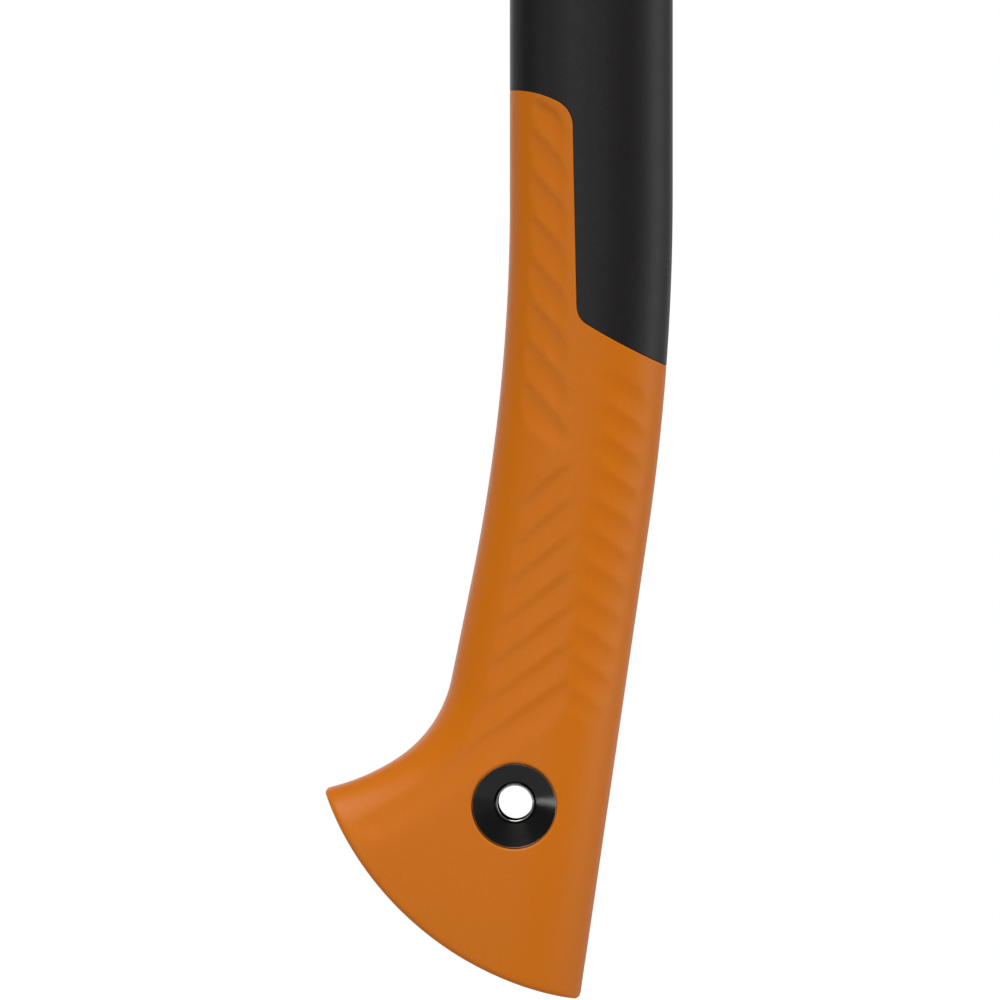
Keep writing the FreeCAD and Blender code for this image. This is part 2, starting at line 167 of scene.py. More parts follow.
def back_depth(x, z):
    """Distance inside the back edge."""
    bend, bend_turn = polar(BACK_BEND_CENTRE, x, z)
    depth = -past_line(BACK_BEND_CENTRE, BACK_BEND_RADIUS, BACK_SLOPE, x, z)
    depth = np.where(bend_turn <= BACK_SLOPE, BACK_BEND_RADIUS - bend, depth)
    return np.where(z >= BACK_BEND_TOP, SHAFT_BACK - x, depth)


def smooth_step(t):
    t = np.clip(t, 0.0, 1.0)
    return t * t * (3.0 - 2.0 * t)


# The handle swells over the hand zone and over the knob: by how much, from where, how far down
HAND_SWELL = (0.5, 110.0, 60.0)
KNOB_SWELL = (1.8, 45.0, 90.0)


def half_thickness(z):
    thickness = SHAFT_HALF_THICKNESS
    for more, top, length in (HAND_SWELL, KNOB_SWELL):
        thickness = thickness + more * smooth_step((top - z) / length)
    return thickness


def edge_profile(t, power=SECTION_POWER):
    return (1.0 - (1.0 - np.clip(t, 0.0, 1.0)) ** power) ** (1.0 / power)


def half_height(x, z, inset=0.0):
    """Half the handle's thickness over a point of its symmetry plane."""
    reach = EDGE_REACH - inset
    front = edge_profile((front_depth(x, z) - inset) / reach)
    back = edge_profile((back_depth(x, z) - inset) / reach)
    return (half_thickness(z) - inset) * front * back


def edge_x(depth, z, inside_x):
    """X at which a depth function is 0 on a level line, for each z."""
    outside = np.full_like(z, inside_x[1])
    inside = np.full_like(z, inside_x[0])
    for _ in range(50):
        middle = (outside + inside) / 2
        inner = depth(middle, z) > 0
        inside = np.where(inner, middle, inside)
        outside = np.where(inner, outside, middle)
    return inside


# ---- outline of the butt: one big arc, its corners at the tip and the heel rounded ----

def direction(centre, point):
    return math.atan2(point[1] - centre[1], point[0] - centre[0])


def arc_points(centre, radius, start, stop, count):
    turns = np.linspace(start, stop, count)
    return np.stack([centre[0] + radius * np.cos(turns), centre[1] + radius * np.sin(turns)], 1)


def arc_depth(x, z):
    """Distance inside the butt's big arc, for points below its centre."""
    return BUTT_RADIUS - np.hypot(x - BUTT_CENTRE[0], np.minimum(z - BUTT_CENTRE[1], 0.0))


def slope_of(depth, x, z, step=1e-4):
    """Gradient of a depth function in X and Z."""
    base = depth(x, z)
    return np.stack([(depth(x + step, z) - base) / step, (depth(x, z + step) - base) / step])


def corner_of(depth, guess):
    """Point where the butt's arc meets a side edge."""
    point = np.array(guess, float)
    for _ in range(60):
        point -= float(depth(*point)) * slope_of(depth, *point)
        point -= float(arc_depth(*point)) * slope_of(arc_depth, *point)
    return point


TIP = corner_of(front_depth, (-45.0, 3.0))
HEEL = corner_of(back_depth, (15.0, -46.0))


def round_corners(rows):
    """Pull grid points in so that the outline turns the tip and the heel on a small round."""
    x, z = rows[..., 0], rows[..., 1]
    for depth, corner in ((front_depth, TIP), (back_depth, HEEL)):
        a = CORNER_RADIUS - depth(x, z)
        b = CORNER_RADIUS - arc_depth(x, z)
        near = (a > 0) & (b > 0) & (np.hypot(x - corner[0], z - corner[1]) < 3 * CORNER_RADIUS)
        squeeze = np.where(near, np.maximum(a, b) / np.maximum(np.hypot(a, b), 1e-9), 1.0)
        slopes = np.array([slope_of(depth, *corner), slope_of(arc_depth, *corner)])
        shift = np.linalg.solve(slopes, np.stack([a - a * squeeze, b - b * squeeze]).reshape(2, -1))
        x = x + shift[0].reshape(x.shape)
        z = z + shift[1].reshape(z.shape)
    return np.stack([x, z], -1)


def butt_depth(x, z):
    """Distance inside the butt's outline, its corners rounded."""
    reach = arc_depth(x, z)
    for depth, corner in ((front_depth, TIP), (back_depth, HEEL)):
        a = CORNER_RADIUS - depth(x, z)
        b = CORNER_RADIUS - arc_depth(x, z)
        near = (a > 0) & (b > 0) & (np.hypot(x - corner[0], z - corner[1]) < 3 * CORNER_RADIUS)
        reach = np.where(near, CORNER_RADIUS - np.hypot(a, b), reach)
    return reach


def along(points, shares):
    """Points at shares of a run's length."""
    steps = np.hypot(*np.diff(points, axis=0).T)
    length = np.concatenate([[0.0], np.cumsum(steps)])
    length /= length[-1]
    return np.stack([np.interp(shares, length, points[:, axis]) for axis in (0, 1)], 1)


def front_outline():
    """Front edge from the knob's top down to the tip."""
    straight = [(float(edge_x(front_depth, np.array([z]), (10.0, -60.0))[0]), z)
                for z in np.linspace(KNOB_TOP, HOOK_TOP, 40)]
    hook = arc_points(HOOK_CENTRE, HOOK_RADIUS, -FRONT_SLOPE, -HOOK_SWEEP, 80)
    ledge = arc_points(TIP_CENTRE, TIP_RADIUS, -HOOK_SWEEP, direction(TIP_CENTRE, TIP), 60)
    return np.concatenate([np.array(straight), hook[1:], ledge[1:]])


def back_outline():
    """Back edge from the knob's top down to the heel."""
    heights = np.linspace(KNOB_TOP, HEEL[1], 80)
    return np.stack([edge_x(back_depth, heights, (10.0, 60.0)), heights], 1)


def even_shares():
    """Shares of the width at which a section's points are evenly spaced round it."""
    turn = np.linspace(0.0, math.pi, 4001)
    x = EDGE_REACH * (1.0 - np.cos(turn))
    y = SHAFT_HALF_THICKNESS * edge_profile(1.0 - np.abs(np.cos(turn)))
    length = np.concatenate([[0.0], np.cumsum(np.hypot(np.diff(x), np.diff(y)))])
    return np.interp(np.linspace(0.0, length[-1], COLUMNS + 1), length, x / x[-1])


SHARES = even_shares()


def level_rows(heights):
    """Rows of (x, z) across the handle at levels."""
    front = edge_x(front_depth, heights, (10.0, -60.0))
    back = edge_x(back_depth, heights, (10.0, 60.0))
    x = front[:, None] + (back - front)[:, None] * SHARES[None, :]
    z = np.repeat(heights[:, None], COLUMNS + 1, axis=1)
    return np.stack([x, z], 2)


def knob_rows():
    """Rows that bend from level at the knob's top to the butt's outline, between its two edges."""
    fall = np.linspace(0.0, 1.0, KNOB_ROWS + 1)
    round_turns = np.linspace(0.0, math.pi / 2, 7)[1:]
    near_butt = BUTT_ROUND * (1.0 - np.sin(round_turns)) / KNOB_SIDE
    fall = np.concatenate([fall[fall < 1.0 - BUTT_ROUND * 1.2 / KNOB_SIDE], 1.0 - near_butt])
    front = along(front_outline(), fall)
    back = along(back_outline(), fall)
    top = level_rows(np.array([KNOB_TOP]))[0]
    butt = arc_points(BUTT_CENTRE, BUTT_RADIUS, direction(BUTT_CENTRE, TIP) % (2 * math.pi),
                      direction(BUTT_CENTRE, HEEL) % (2 * math.pi), 600)
    bottom = along(butt, SHARES)
    t = fall[:, None, None]
    s = SHARES[None, :, None]
    across = (1 - s) * front[:, None] + s * back[:, None]
    down = (1 - t) * top[None] + t * bottom[None]
    corners = (1 - s) * (1 - t) * top[0] + s * (1 - t) * top[-1]
    corners = corners + (1 - s) * t * bottom[0] + s * t * bottom[-1]
    return round_corners(across + down - corners)


def surface_height(rows):
    """Half thickness at each grid point, with the butt's edge rounded."""
    x, z = rows[..., 0], rows[..., 1]
    height = half_height(x, z)
    height[:, 0] = 0.0
    height[:, -1] = 0.0
    small = np.minimum(BUTT_ROUND, 0.9 * height)
    into = np.clip(small - np.clip(butt_depth(x, z), 0.0, None), 0.0, small)
    return height - (small - np.sqrt(np.maximum(small * small - into * into, 0.0)))


# ---- parting line between the soft grip and the shaft ----

def three_point_arc(a, b, c, count):
    """Points on the arc from a through b to c."""
    a, b, c = (np.array(p, float) for p in (a, b, c))
    m = np.array([b - a, c - a]) * 2
    centre = np.linalg.solve(m, np.array([b @ b - a @ a, c @ c - a @ a]))
    start, middle, stop = (direction(centre, p) for p in (a, b, c))
    for _ in range(2):
        if (middle - start) * (stop - middle) < 0:
            stop += 2 * math.pi if stop < middle else -2 * math.pi
    return arc_points(centre, np.hypot(*(a - centre)), start, stop, count)


def parting_outline():
    """The L-shaped line, from beyond the front edge to beyond the back edge."""
    top_end = (10.4, GRIP_TOP - 3.0)
    top = three_point_arc((SHAFT_FRONT, GRIP_TOP), (4.7, GRIP_TOP - 0.8), top_end, 24)
    corner = three_point_arc(top_end, (12.8, GRIP_TOP - 5.4), (13.7, GRIP_TOP - 8.7), 24)
    inner = three_point_arc((14.6, 117.4), (15.25, 115.1), (16.95, 113.3), 16)
    slant = three_point_arc((16.95, 113.3), (25.4, 108.5), (37.5, 102.9), 24)
    beyond_front = [(-60.0, GRIP_TOP)]
    beyond_back = [(80.0, 83.8)]
    return np.concatenate([beyond_front, top, corner[1:], inner, slant[1:], beyond_back])


PARTING = parting_outline()


def parting_depth(x, z):
    """Signed distance from the parting line, positive on the soft grip's side."""
    x = np.asarray(x, float)
    z = np.asarray(z, float)
    best = np.full(x.shape, 1e9)
    side = np.ones(x.shape)
    for a, b in zip(PARTING[:-1], PARTING[1:]):
        d = b - a
        share = np.clip(((x - a[0]) * d[0] + (z - a[1]) * d[1]) / (d @ d), 0.0, 1.0)
        off_x = x - a[0] - share * d[0]
        off_z = z - a[1] - share * d[1]
        gap = np.hypot(off_x, off_z)
        nearer = gap < best - 1e-9
        cross = d[0] * off_z - d[1] * off_x
        side = np.where(nearer, np.where(cross < 0, 1.0, -1.0), side)
        best = np.where(nearer, gap, best)
    return best * side


# ---- round window over the eyelet, and the edge of the dish in it ----

WINDOW_CENTRE = (-0.14, -0.72)
WINDOW_RADIUS = 10.15
DISH_EDGE = 9.75


def window_depth(x, z):
    """Distance outside the round window over the eyelet."""
    return np.hypot(x - WINDOW_CENTRE[0], z - WINDOW_CENTRE[1]) - WINDOW_RADIUS


# ---- relief of the soft grip: three rows of shallow flutes that meet in slanted ridges ----

# Each row has its flutes' depth and pitch, which ridges it has, a point (X, Z) on ridge 0, the
# ridges' slant, and the share of the pitch at which a flute is deepest.

RIDGE_SHARE = 0.78
RIDGE_SOFTNESS = 0.42
PALM_DEPTH = 0.56
PALM_PITCH = 8.25
PALM_COUNT = 7
PALM_RIDGE = (5.0, 74.4)
PALM_SLANT = 0.86
PALM_SLANT_LOSS = 0.03
PALM_DEEPEST = 0.3
FINGER_DEPTH = 0.5
FINGER_PITCH = 10.3
FINGER_COUNT = 8
FINGER_RIDGE = (8.0, 156.0)
FINGER_SLANT = 1.15
FINGER_DEEPEST = 0.7
BACK_DEPTH = 0.34
BACK_PITCH = 8.13
BACK_FIRST = -1
BACK_LAST = 10
BACK_RIDGE = (17.4, 98.0)
BACK_SLANT = 0.68
BACK_DEEPEST = 0.45


def rise(t):
    """Goes from 0 to 1 with a crease at its start and none at its end."""
    t = np.clip(t, 0.0, 1.0)
    return t * (2.0 - t)


def flute(depth, across, deepest):
    """Cut of one flute; across runs from 0 at its one ridge to 1 at the next."""
    near = (deepest - across) / deepest
    far = (across - deepest) / (1.0 - deepest)
    return depth - RIDGE_SHARE * np.maximum(near, far) ** 2


def palm_flutes(x, z):
    """Lower flutes of the front flank, their ridges rising to the back."""
    room = rise((front_depth(x, z) - 8.0) / 5.0) * smooth_step((15.5 - x) / 7.5)
    room = room * smooth_step((window_depth(x, z) - 0.6) / 1.6)
    room = room * smooth_step((arc_depth(x, z) - 1.0) / 8.0)
    cut = np.zeros_like(x)
    for n in range(PALM_COUNT):
        slant = PALM_SLANT - PALM_SLANT_LOSS * n
        ridge = PALM_RIDGE[1] - PALM_PITCH * n + slant * (x - PALM_RIDGE[0])
        cut = np.maximum(cut, flute(room, (ridge - z) / PALM_PITCH, PALM_DEEPEST))
    return PALM_DEPTH * cut


def finger_flutes(x, z):
    """Upper flutes of the front flank, their ridges falling to the back."""
    room = rise((front_depth(x, z) - 4.8) / 4.0) * smooth_step((13.6 - x) / 4.6)
    room = room * smooth_step((z - 81.0) / 8.0) * smooth_step((parting_depth(x, z) - 0.8) / 2.5)
    cut = np.zeros_like(x)
    for n in range(FINGER_COUNT):
        ridge = FINGER_RIDGE[1] - FINGER_PITCH * n - FINGER_SLANT * (x - FINGER_RIDGE[0])
        cut = np.maximum(cut, flute(room, (z - ridge) / FINGER_PITCH, FINGER_DEEPEST))
    return FINGER_DEPTH * cut


def back_flutes(x, z):
    """Flutes of the back flank, their ridges falling to the back edge."""
    back = back_depth(x, z)
    room = smooth_step((17.0 - back) / 8.0) * rise((back - 2.6) / 5.0)
    room = room * smooth_step((z - 14.0) / 16.0) * smooth_step((parting_depth(x, z) - 0.8) / 2.5)
    cut = np.zeros_like(x)
    for n in range(BACK_FIRST, BACK_LAST + 1):
        ridge = BACK_RIDGE[1] - BACK_PITCH * n - BACK_SLANT * (x - BACK_RIDGE[0])
        cut = np.maximum(cut, flute(room, (ridge - z) / BACK_PITCH, BACK_DEEPEST))
    return BACK_DEPTH * cut


def relief(x, z):
    """Height of the grip's moulded flutes over the plain surface, their ridges a little soft."""
    height = np.zeros_like(x)
    for shift_x, shift_z in ((0, 0), (1, 0), (-1, 0), (0, 1), (0, -1)):
        near_x, near_z = x + RIDGE_SOFTNESS * shift_x, z + RIDGE_SOFTNESS * shift_z
        for flutes in (palm_flutes, finger_flutes, back_flutes):
            height = height - flutes(near_x, near_z) / 5
    return height


# ---- mesh building ----

def clip_grid(points, field, snap=0.14):
    """Faces of a grid where field >= 0, cut along its zero line with no slivers."""
    points = points.copy()
    field = field.copy()
    rows, columns = field.shape
    moves = [(0, 1), (1, 0)]
    for di, dj in moves:
        here = field[:rows - di, :columns - dj]
        there = field[di:, dj:]
        for i, j in np.argwhere(here * there < 0):
            a, b = (i, j), (i + di, j + dj)
            if field[a] * field[b] >= 0:
                continue
            share = field[a] / (field[a] - field[b])
            if share < snap:
                points[a] += (points[b] - points[a]) * share
                field[a] = 0.0
            elif share > 1 - snap:
                points[b] += (points[a] - points[b]) * (1 - share)
                field[b] = 0.0
    verts = list(points.reshape(-1, points.shape[2]))
    index = np.arange(rows * columns).reshape(rows, columns)
    corner = np.stack([field[:-1, :-1], field[1:, :-1], field[1:, 1:], field[:-1, 1:]])
    ids = np.stack([index[:-1, :-1], index[1:, :-1], index[1:, 1:], index[:-1, 1:]])
    whole = (corner >= 0).all(0)
    faces = [tuple(f) for f in ids[:, whole].T.tolist()]
    cuts = {}
    flat = field.reshape(-1)

    def cut(a, b):
        key = (min(a, b), max(a, b))
        if key not in cuts:
            share = flat[key[0]] / (flat[key[0]] - flat[key[1]])
            cuts[key] = len(verts)
            verts.append(verts[key[0]] + (verts[key[1]] - verts[key[0]]) * share)
        return cuts[key]

    mixed = (corner > 0).any(0) & (corner < 0).any(0)
    for quad in ids[:, mixed].T.tolist():
        polygon = []
        for a, b in zip(quad, quad[1:] + quad[:1]):
            if flat[a] >= 0:
                polygon.append(a)
            if flat[a] * flat[b] < 0:
                polygon.append(cut(a, b))
        if len(set(polygon)) >= 3:
            faces.append(tuple(polygon))
    return np.array(verts), faces


def add_faces(bm, verts, faces, flip=False):
    """Add a mesh given as arrays, in millimetres; unused points are left out."""
    made = {}
    for face in faces:
        corners = []
        for k in face:
            if k not in made:
                made[k] = bm.verts.new(verts[k])
            corners.append(made[k])
        if flip:
            corners.reverse()
        if len(set(corners)) >= 3:
            bm.faces.new(corners)


def both_sides(bm, verts, faces):
    """Add a half mesh of the -Y side and its mirror image, joined on the symmetry plane."""
    add_faces(bm, verts, faces)
    other = verts * np.array([1.0, -1.0, 1.0])
    add_faces(bm, other, faces, flip=True)
    bmesh.ops.remove_doubles(bm, verts=bm.verts, dist=1e-4)


def rim_loops(bm):
    """Boundary loops of a mesh, each an ordered list of vertices."""
    left = {e for e in bm.edges if len(e.link_faces) == 1}
    loops = []
    while left:
        edge = min(left, key=lambda e: tuple(round(c, 4) for c in (e.verts[0].co + e.verts[1].co)))
        left.remove(edge)
        loop = [edge.verts[0], edge.verts[1]]
        while True:
            following = [e for e in loop[-1].link_edges if e in left]
            if not following:
                break
            left.remove(following[0])
            loop.append(following[0].other_vert(loop[-1]))
        if loop[0] == loop[-1]:
            loop.pop()
        loops.append(loop)
    return loops


def lip_rings(loop, depth, levels, lip_round, wall):
    """Rings of points from a rim to the zero line of a depth function, over a rounded lip and
    down a wall."""
    places = np.array([v.co for v in loop])
    normals = np.array([v.normal for v in loop])
    step = 1e-3
    base = depth(places[:, 0], places[:, 2])
    slope = np.zeros_like(places)
    slope[:, 0] = (depth(places[:, 0] + step, places[:, 2]) - base) / step
    slope[:, 2] = (depth(places[:, 0], places[:, 2] + step) - base) / step
    tangent = slope - (slope * normals).sum(1)[:, None] * normals
    tangent /= (tangent ** 2).sum(1)[:, None]
    rings = []
    for level in levels:
        moved = places + tangent * (level - base)[:, None]
        into = max(lip_round - level, 0.0)
        drop = lip_round - math.sqrt(max(lip_round ** 2 - into ** 2, 0.0))
        rings.append(moved - normals * drop)
    edge = places - tangent * base[:, None]
    rings.append(edge - normals * wall)
    return rings


def join_rings(bm, first, second):
    """Quads between two loops of the same length."""
    count = len(first)
    for k in range(count):
        n = (k + 1) % count
        bm.faces.new((first[k], first[n], second[n], second[k]))


def close_shell(bm, thickness, rims):
    """Give an open skin an inner face, joined to it over each rim's rings."""
    bm.normal_update()
    loops = rim_loops(bm)
    ring_sets = [rims(loop) for loop in loops]
    outer = list(bm.verts)
    faces = list(bm.faces)
    inner = {v: bm.verts.new(v.co - v.normal * thickness) for v in outer}
    for face in faces:
        bm.faces.new([inner[v] for v in reversed(face.verts)])
    for loop, rings in zip(loops, ring_sets):
        previous = loop
        for ring in rings:
            fresh = [bm.verts.new(p) for p in ring]
            join_rings(bm, previous, fresh)
            previous = fresh
        join_rings(bm, previous, [inner[v] for v in loop])
    bmesh.ops.recalc_face_normals(bm, faces=bm.faces)


SKIN_SMOOTH = math.radians(38)
TURNED_SMOOTH = math.radians(40)


def finish_mesh(bm, name, material, smooth_angle=SKIN_SMOOTH):
    """Turn a millimetre bmesh into a shaded object in metres."""
    bmesh.ops.scale(bm, vec=(MM, MM, MM), verts=bm.verts)
    mesh = bpy.data.meshes.new(name)
    bm.to_mesh(mesh)
    bm.free()
    mesh.shade_smooth()
    mesh.set_sharp_from_angle(angle=smooth_angle)
    piece = bpy.data.objects.new(name, mesh)
    bpy.context.scene.collection.objects.link(piece)
    mesh.materials.append(material)
    return piece


# ---- materials ----

class Nodes:
    """Small helper to build a node material.  Noise scales are per metre and bump distances are
    in metres."""

    def __init__(self, name):
        self.material = bpy.data.materials.new(name)
        self.material.use_nodes = True
        self.tree = self.material.node_tree
        self.tree.nodes.clear()
        self.output = self.add("ShaderNodeOutputMaterial")
        self.shader = self.add("ShaderNodeBsdfPrincipled")
        self.link(self.shader, "BSDF", self.output, "Surface")
        self.place = self.add("ShaderNodeTexCoord")

    def add(self, kind, **values):
        node = self.tree.nodes.new(kind)
        for key, value in values.items():
            if hasattr(node, key):
                setattr(node, key, value)
            else:
                node.inputs[key.replace("_", " ")].default_value = value
        return node

    def link(self, a, out, b, into):
        self.tree.links.new(a.outputs[out], b.inputs[into])

    def noise(self, scale, detail=4.0, roughness=0.6, stretch=None):
        node = self.add("ShaderNodeTexNoise", Scale=scale, Detail=detail, Roughness=roughness)
        if stretch:
            mapping = self.add("ShaderNodeMapping", Scale=stretch)
            self.link(self.place, "Object", mapping, "Vector")
            self.link(mapping, "Vector", node, "Vector")
        else:
            self.link(self.place, "Object", node, "Vector")
        return node

    def ramp(self, source, out, stops):
        node = self.add("ShaderNodeValToRGB")
        while len(node.color_ramp.elements) < len(stops):
            node.color_ramp.elements.new(0.5)
        for element, (position, colour) in zip(node.color_ramp.elements, stops):
            element.position = position
            element.color = (*colour, 1.0)
        self.link(source, out, node, "Fac")
        return node

    def spread(self, source, out, low, high, from_low=0.0, from_high=1.0):
        node = self.add("ShaderNodeMapRange")
        node.inputs["From Min"].default_value = from_low
        node.inputs["From Max"].default_value = from_high
        node.inputs["To Min"].default_value = low
        node.inputs["To Max"].default_value = high
        self.link(source, out, node, "Value")
        return node

    def bump(self, source, out, distance, strength=1.0, under=None):
        node = self.add("ShaderNodeBump", Strength=strength, Distance=distance)
        self.link(source, out, node, "Height")
        if under:
            self.link(under, "Normal", node, "Normal")
        return node


def soft_orange():
    """Soft elastomer: saturated orange with a fine speckle and a soft sheen."""
    m = Nodes("soft_grip_orange")
    speckle = m.noise(2600.0, 3.0, 0.7)
    tint = m.ramp(speckle, "Fac", [(0.3, (0.88, 0.217, 0.0)), (0.7, (0.95, 0.248, 0.001))])
    m.link(tint, "Color", m.shader, "Base Color")
    rough = m.spread(m.noise(300.0), "Fac", 0.34, 0.44)
    m.link(rough, "Result", m.shader, "Roughness")
    grain = m.bump(speckle, "Fac", 0.00005, 0.9)
    broad = m.bump(m.noise(420.0, 3.0), "Fac", 0.00004, 0.35, grain)
    m.link(broad, "Normal", m.shader, "Normal")
    m.shader.inputs["Specular IOR Level"].default_value = 0.37
    return m.material


def black_composite():
    """Glass-filled nylon: near black with a fine moulded grain."""
    m = Nodes("composite_black")
    grain = m.noise(1900.0, 3.0, 0.65)
    tint = m.ramp(grain, "Fac",
                  [(0.3, (0.0067, 0.0051, 0.0066)), (0.72, (0.0133, 0.0104, 0.0131))])
    m.link(tint, "Color", m.shader, "Base Color")
    rough = m.spread(m.noise(240.0), "Fac", 0.37, 0.47)
    m.link(rough, "Result", m.shader, "Roughness")
    fine = m.bump(grain, "Fac", 0.00003, 0.8)
    m.link(fine, "Normal", m.shader, "Normal")
    m.shader.inputs["Specular IOR Level"].default_value = 0.5
    return m.material


# Painted highlights of the eyelet: bright metal rings just outside the bore and the dish's edge,
# where their rounded edges catch the light; how far out, and half their width
BORE_PAINTED_HIGHLIGHT = (0.2, 0.09)
EDGE_PAINTED_HIGHLIGHT = (0.13, 0.07)


def eyelet_metal():
    """Glossy black metal with fine turning marks round the bore, and painted highlights: bright
    metal rings on its two thin rounded edges.
    """
    m = Nodes("eyelet_black")
    split = m.add("ShaderNodeSeparateXYZ")
    m.link(m.place, "Object", split, "Vector")
    flat = m.add("ShaderNodeCombineXYZ")
    m.link(split, "X", flat, "X")
    m.link(split, "Z", flat, "Y")
    reach = m.add("ShaderNodeVectorMath", operation="LENGTH")
    m.link(flat, "Vector", reach, 0)
    edge_reach = m.add("ShaderNodeVectorMath", operation="DISTANCE")
    m.link(flat, "Vector", edge_reach, 0)
    edge_reach.inputs[1].default_value = (WINDOW_CENTRE[0] * MM, WINDOW_CENTRE[1] * MM, 0.0)
    marks = m.add("ShaderNodeTexNoise", noise_dimensions="1D", Scale=7000.0, Detail=3.0)
    m.link(reach, "Value", marks, "W")
    tint = m.ramp(m.noise(900.0), "Fac",
                  [(0.3, (0.004, 0.004, 0.0048)), (0.7, (0.007, 0.007, 0.0078))])
    # Painted highlights: thin rings of bright metal colour on the lip round the bore and on the
    # dish's edge
    rings = []
    for source, start, (out, half_width) in ((reach, BORE_RADIUS, BORE_PAINTED_HIGHLIGHT),
                                             (edge_reach, DISH_EDGE, EDGE_PAINTED_HIGHLIGHT)):
        ring = m.add("ShaderNodeMath", operation="COMPARE")
        m.link(source, "Value", ring, 0)
        ring.inputs[1].default_value = (start + out) * MM
        ring.inputs[2].default_value = half_width * MM
        rings.append(ring)
    painted_highlight = m.add("ShaderNodeMath", operation="MAXIMUM")
    m.link(rings[0], "Value", painted_highlight, 0)
    m.link(rings[1], "Value", painted_highlight, 1)
    blend = m.add("ShaderNodeMix", data_type="RGBA")
    m.link(painted_highlight, "Value", blend, 0)
    m.link(tint, "Color", blend, 6)
    # Colour of the painted highlight rings
    blend.inputs[7].default_value = (0.62, 0.6, 0.57, 1.0)
    m.tree.links.new(blend.outputs[2], m.shader.inputs["Base Color"])
    m.link(painted_highlight, "Value", m.shader, "Metallic")
    rough = m.spread(m.noise(1500.0), "Fac", 0.1, 0.2)
    m.link(rough, "Result", m.shader, "Roughness")
    turned = m.bump(marks, "Fac", 0.00002, 0.5)
    m.link(turned, "Normal", m.shader, "Normal")
    # The bore's wall doesn't shine; the shine starts just outside it
    shine = m.spread(reach, "Value", 0.0, 0.6,
                     (BORE_RADIUS + 0.02) * MM, (BORE_RADIUS + 0.12) * MM)
    m.link(shine, "Result", m.shader, "Specular IOR Level")
    return m.material


MARK_STRETCH = 0.6


def head_steel():
    """Black lacquered steel, ground bright along the cutting edge and worn on its poll face."""
    m = Nodes("head_steel")
    split = m.add("ShaderNodeSeparateXYZ")
    m.link(m.place, "Object", split, "Vector")
    swept = m.add("ShaderNodeCombineXYZ")
    for axis, out, centre in (("X", "X", HEAD_ARC_CENTRE[0]), ("Y", "Z", HEAD_ARC_CENTRE[1])):
        shift = m.add("ShaderNodeMath", operation="SUBTRACT")
        m.link(split, out, shift, 0)
        shift.inputs[1].default_value = centre * MM
        m.link(shift, "Value", swept, axis)
    reach = m.add("ShaderNodeVectorMath", operation="LENGTH")
    m.link(swept, "Vector", reach, 0)
    bearing = m.add("ShaderNodeVectorMath", operation="NORMALIZE")
    m.link(swept, "Vector", bearing, 0)

    # Grinding marks run from the body to the edge
    turn = m.add("ShaderNodeSeparateXYZ")
    m.link(bearing, "Vector", turn, "Vector")
    across = m.add("ShaderNodeCombineXYZ")
    slow = m.add("ShaderNodeMath", operation="MULTIPLY")
    m.link(reach, "Value", slow, 0)
    slow.inputs[1].default_value = MARK_STRETCH
    m.link(turn, "Y", across, "X")
    m.link(slow, "Value", across, "Y")
    m.link(split, "Y", across, "Z")
    marks = m.add("ShaderNodeTexNoise", Scale=900.0, Detail=5.0, Roughness=0.7)
    m.link(across, "Vector", marks, "Vector")

    ground = m.spread(reach, "Value", 0.0, 1.0,
                      (HEAD_ARC_RADIUS - BEVEL_START) * MM, (HEAD_ARC_RADIUS - BEVEL_FULL) * MM)
    poll = m.spread(split, "X", 0.0, 1.0,
                    (POLL_FACE - WEAR_START) * MM, (POLL_FACE - WEAR_FULL) * MM)
    patches = m.spread(m.noise(90.0, 5.0, 0.65), "Fac", 0.35, 0.8, 0.35, 0.65)
    worn = m.add("ShaderNodeMath", operation="MULTIPLY")
    m.link(poll, "Result", worn, 0)
    m.link(patches, "Result", worn, 1)
    bright = m.add("ShaderNodeMath", operation="MAXIMUM")
    m.link(ground, "Result", bright, 0)
    m.link(worn, "Value", bright, 1)

    lacquer = m.ramp(m.noise(700.0, 4.0), "Fac",
                     [(0.3, (0.012, 0.0122, 0.013)), (0.7, (0.022, 0.0222, 0.0235))])
    steel = m.ramp(marks, "Fac", [(0.3, (0.30, 0.305, 0.315)), (0.7, (0.46, 0.465, 0.475))])
    blend = m.add("ShaderNodeMix", data_type="RGBA")
    m.link(bright, "Value", blend, 0)
    m.link(lacquer, "Color", blend, 6)
    m.link(steel, "Color", blend, 7)
    m.tree.links.new(blend.outputs[2], m.shader.inputs["Base Color"])
    m.link(bright, "Value", m.shader, "Metallic")
    coat_rough = m.spread(m.noise(260.0), "Fac", 0.3, 0.46)
    steel_rough = m.spread(marks, "Fac", 0.24, 0.42)
    rough = m.add("ShaderNodeMix", data_type="FLOAT")
    m.link(bright, "Value", rough, 0)
    m.link(coat_rough, "Result", rough, 2)
    m.link(steel_rough, "Result", rough, 3)
    m.tree.links.new(rough.outputs[0], m.shader.inputs["Roughness"])
    peel = m.bump(m.noise(1100.0, 2.0), "Fac", 0.00004, 0.5)
    scratch = m.add("ShaderNodeBump", Distance=0.00004)
    m.link(marks, "Fac", scratch, "Height")
    m.link(bright, "Value", scratch, "Strength")
    m.link(peel, "Normal", scratch, "Normal")
    m.link(scratch, "Normal", m.shader, "Normal")
    m.shader.inputs["Specular IOR Level"].default_value = 0.5
    return m.material


ORANGE = soft_orange()
BLACK = black_composite()
EYELET = eyelet_metal()
STEEL = head_steel()


# ---- pieces ----

# A skin is cut at START from its line; LEVELS are the rings from there, over a lip's ROUND
PARTING_START = 0.45
PARTING_LEVELS = (0.32, 0.2, 0.12, 0.07, 0.035)
PARTING_ROUND = 0.2
WINDOW_START = 1.3
WINDOW_LEVELS = (1.0, 0.75, 0.55, 0.4, 0.27, 0.16, 0.08, 0.02)
WINDOW_ROUND = 0.6


def with_height(rows, height):
    return np.stack([rows[..., 0], -height, rows[..., 1]], 2)


